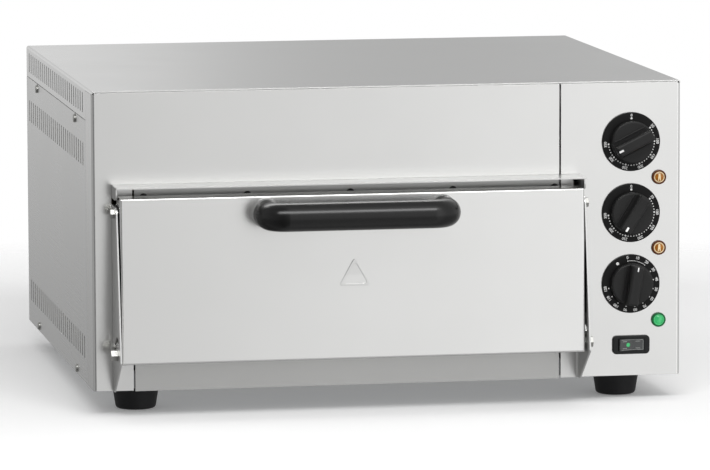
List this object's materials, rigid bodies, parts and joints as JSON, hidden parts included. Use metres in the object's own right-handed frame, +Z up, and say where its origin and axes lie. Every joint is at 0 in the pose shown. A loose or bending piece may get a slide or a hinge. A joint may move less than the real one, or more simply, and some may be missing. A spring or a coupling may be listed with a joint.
{
  "type": "deck oven",
  "caption": "Countertop deck oven with a stone-floored chamber, a drop-down door, heat dials, a timer and a mains rocker.",
  "frame": {"origin": "bottom centre of the whole oven's box, on the surface that the feet stand on", "axes": "+X to the right seen from the front, -Y out of the door's side, +Z up"},
  "size_m": [0.572, 0.6104, 0.308],
  "materials": {
    "stainless_sheet": "satin, fine straight grain",
    "galvanised_sheet": "dull zinc coat",
    "chamber_steel": "aluminised, dull",
    "plated_fasteners": "bright zinc plate",
    "dark_screws": "blackened",
    "black_rubber": "matt",
    "black_handle": "satin moulded",
    "black_knob": "satin moulded",
    "black_dial": "smooth with a printed scale",
    "mineral_wool": "fibrous",
    "fireclay": "fine, porous",
    "element_sheath": "heat-darkened",
    "copper_capillary": "drawn",
    "control_plastic": "moulded",
    "spindle_brass": "turned",
    "lamp_body": "dark brown",
    "amber_lens": "translucent",
    "green_lens": "translucent",
    "switch_plastic": "moulded",
    "rocker_plastic": "smooth",
    "porcelain": "glazed",
    "wire_insulation": "woven sleeve",
    "gland_plastic": "moulded"
  },
  "bodies": {
    "oven": {"top_cover": "stainless_sheet", "left_side_panel": "stainless_sheet", "right_side_panel": "stainless_sheet", "front_fascia": "stainless_sheet", "control_panel": "stainless_sheet", "door_ledge": "stainless_sheet", "left_hinge_cheek": "stainless_sheet", "right_hinge_cheek": "stainless_sheet", "chamber_front_frame": "stainless_sheet", "back_panel": "galvanised_sheet", "base_tray": "galvanised_sheet", "partition_plate": "galvanised_sheet", "chamber_supports": "galvanised_sheet", "chamber_liner": "chamber_steel", "stone_rails": "chamber_steel", "element_brackets": "chamber_steel", "casing_screws": "plated_fasteners", "foot_screws": "plated_fasteners", "hinge_bolts": "plated_fasteners", "catch_bolts": "plated_fasteners", "left_hinge_spring": "plated_fasteners", "right_hinge_spring": "plated_fasteners", "front_frame_screws": "dark_screws", "front_feet": "black_rubber", "rear_feet": "black_rubber", "top_heat_dial": "black_dial", "bottom_heat_dial": "black_dial", "timer_dial": "black_dial", "insulation_top": "mineral_wool", "insulation_bottom": "mineral_wool", "insulation_sides": "mineral_wool", "insulation_rear": "mineral_wool", "baking_stone": "fireclay", "upper_heating_element": "element_sheath", "lower_heating_element": "element_sheath", "thermostat_probes": "copper_capillary", "thermostat_bodies": "control_plastic", "timer_body": "control_plastic", "lamp_holders": "lamp_body", "amber_lamp_lenses": "amber_lens", "green_lamp_lens": "green_lens", "switch_housing": "switch_plastic", "terminal_block": "porcelain", "internal_wiring": "wire_insulation", "cable_gland": "gland_plastic"},
    "door": {"door_outer_panel": "stainless_sheet", "door_inner_panel": "chamber_steel", "door_insulation": "mineral_wool", "door_hinge_arms": "chamber_steel", "door_stop_pins": "plated_fasteners", "door_handle": "black_handle", "handle_screws": "plated_fasteners"},
    "top_heat_control": {"top_heat_knob": "black_knob", "top_heat_spindle": "spindle_brass"},
    "bottom_heat_control": {"bottom_heat_knob": "black_knob", "bottom_heat_spindle": "spindle_brass"},
    "timer_control": {"timer_knob": "black_knob", "timer_spindle": "spindle_brass"},
    "rocker": {"power_rocker": "rocker_plastic", "rocker_lamp": "green_lens"}
  },
  "joints": [
    {"name": "door_hinge", "type": "hinge", "parent": "oven", "child": "door", "pos_m": [-0.0401, -0.24375, 0.0624], "axis": [1, 0, 0], "range_deg": [0, 88], "stiffness_Nm_per_rad": 0.3, "springref_deg": -28.65},
    {"name": "top_heat_control_turn", "type": "hinge", "parent": "oven", "child": "top_heat_control", "pos_m": [0.2355, -0.22275, 0.2497], "axis": [0, 1, 0], "range_deg": [-244, 21]},
    {"name": "bottom_heat_control_turn", "type": "hinge", "parent": "oven", "child": "bottom_heat_control", "pos_m": [0.2355, -0.22275, 0.1813], "axis": [0, 1, 0], "range_deg": [-212, 53]},
    {"name": "timer_control_turn", "type": "hinge", "parent": "oven", "child": "timer_control", "pos_m": [0.2355, -0.22275, 0.1129], "axis": [0, 1, 0], "range_deg": [-43, 251]},
    {"name": "rocker_tilt", "type": "hinge", "parent": "oven", "child": "rocker", "pos_m": [0.236, -0.21225, 0.0538], "axis": [0, 0, 1], "range_deg": [-16, 0]}
  ]
}
